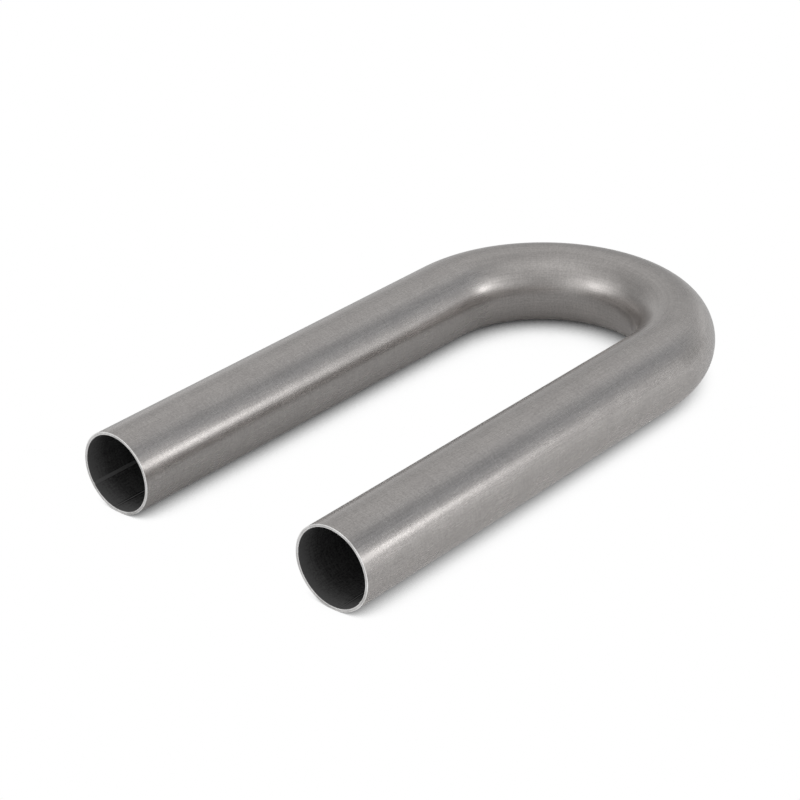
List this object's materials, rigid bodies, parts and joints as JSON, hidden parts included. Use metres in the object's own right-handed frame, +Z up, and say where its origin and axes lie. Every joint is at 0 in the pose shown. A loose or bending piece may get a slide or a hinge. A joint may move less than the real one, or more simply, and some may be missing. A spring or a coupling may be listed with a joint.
{
  "type": "return bend",
  "caption": "Round stainless steel tube bent through a half turn into a flat U, with equal straight legs and square cut open ends.",
  "frame": {"origin": "middle of the part's floor rectangle, at the height of the tube's underside", "axes": "+X across the two legs, +Y towards the closed end of the U, +Z up out of the plane of the U"},
  "size_m": [0.2014, 0.3714, 0.0476],
  "materials": {
    "stainless": "fine satin brushed stainless steel"
  },
  "bodies": {
    "root": {"bent_tube": "stainless"}
  },
  "joints": []
}
